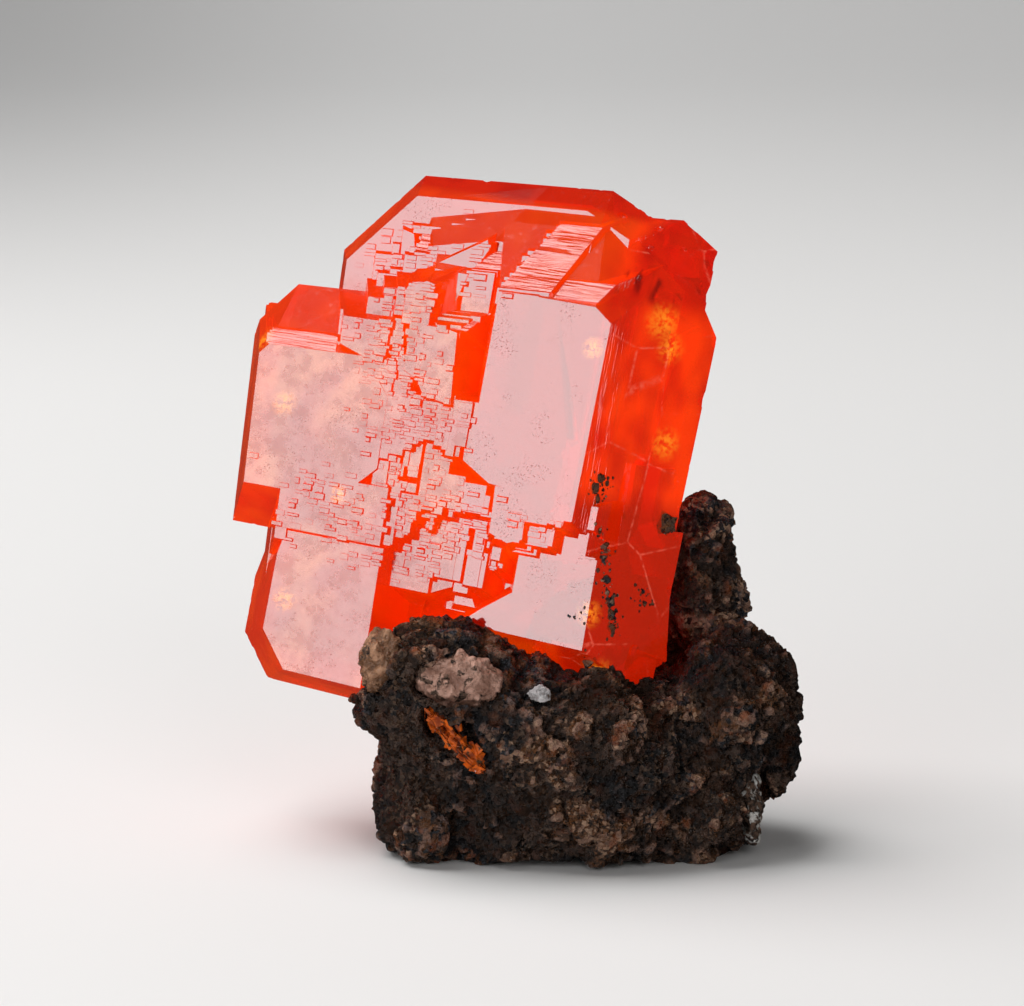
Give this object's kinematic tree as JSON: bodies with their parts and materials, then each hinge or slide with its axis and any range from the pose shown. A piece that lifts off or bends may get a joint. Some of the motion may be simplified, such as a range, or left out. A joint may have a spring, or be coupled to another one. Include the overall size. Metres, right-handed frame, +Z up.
{
  "type": "wulfenite specimen",
  "caption": "Stepped orange-red tabular crystal group standing on a lump of dark iron-stained rock with small quartz grains.",
  "frame": {"origin": "on the ground under the middle of the whole specimen's box", "axes": "+Z up, +X to the right and -Y towards the viewer of the specimen's front"},
  "size_m": [0.0486, 0.032, 0.0549],
  "materials": {
    "wulfenite": "glassy crystal faces, translucent orange-red",
    "small_wulfenite": "flaky, resinous, translucent",
    "rock": "rough iron oxide, pitted and grainy",
    "quartz": "waxy, translucent",
    "white_crust": "fine sugary crystals"
  },
  "bodies": {
    "root": {"wulfenite_crystal": "wulfenite", "matrix": "rock", "small_wulfenite": "small_wulfenite", "quartz_knob": "quartz", "quartz_lens": "quartz", "white_grain": "white_crust", "white_crust": "white_crust"}
  },
  "joints": []
}
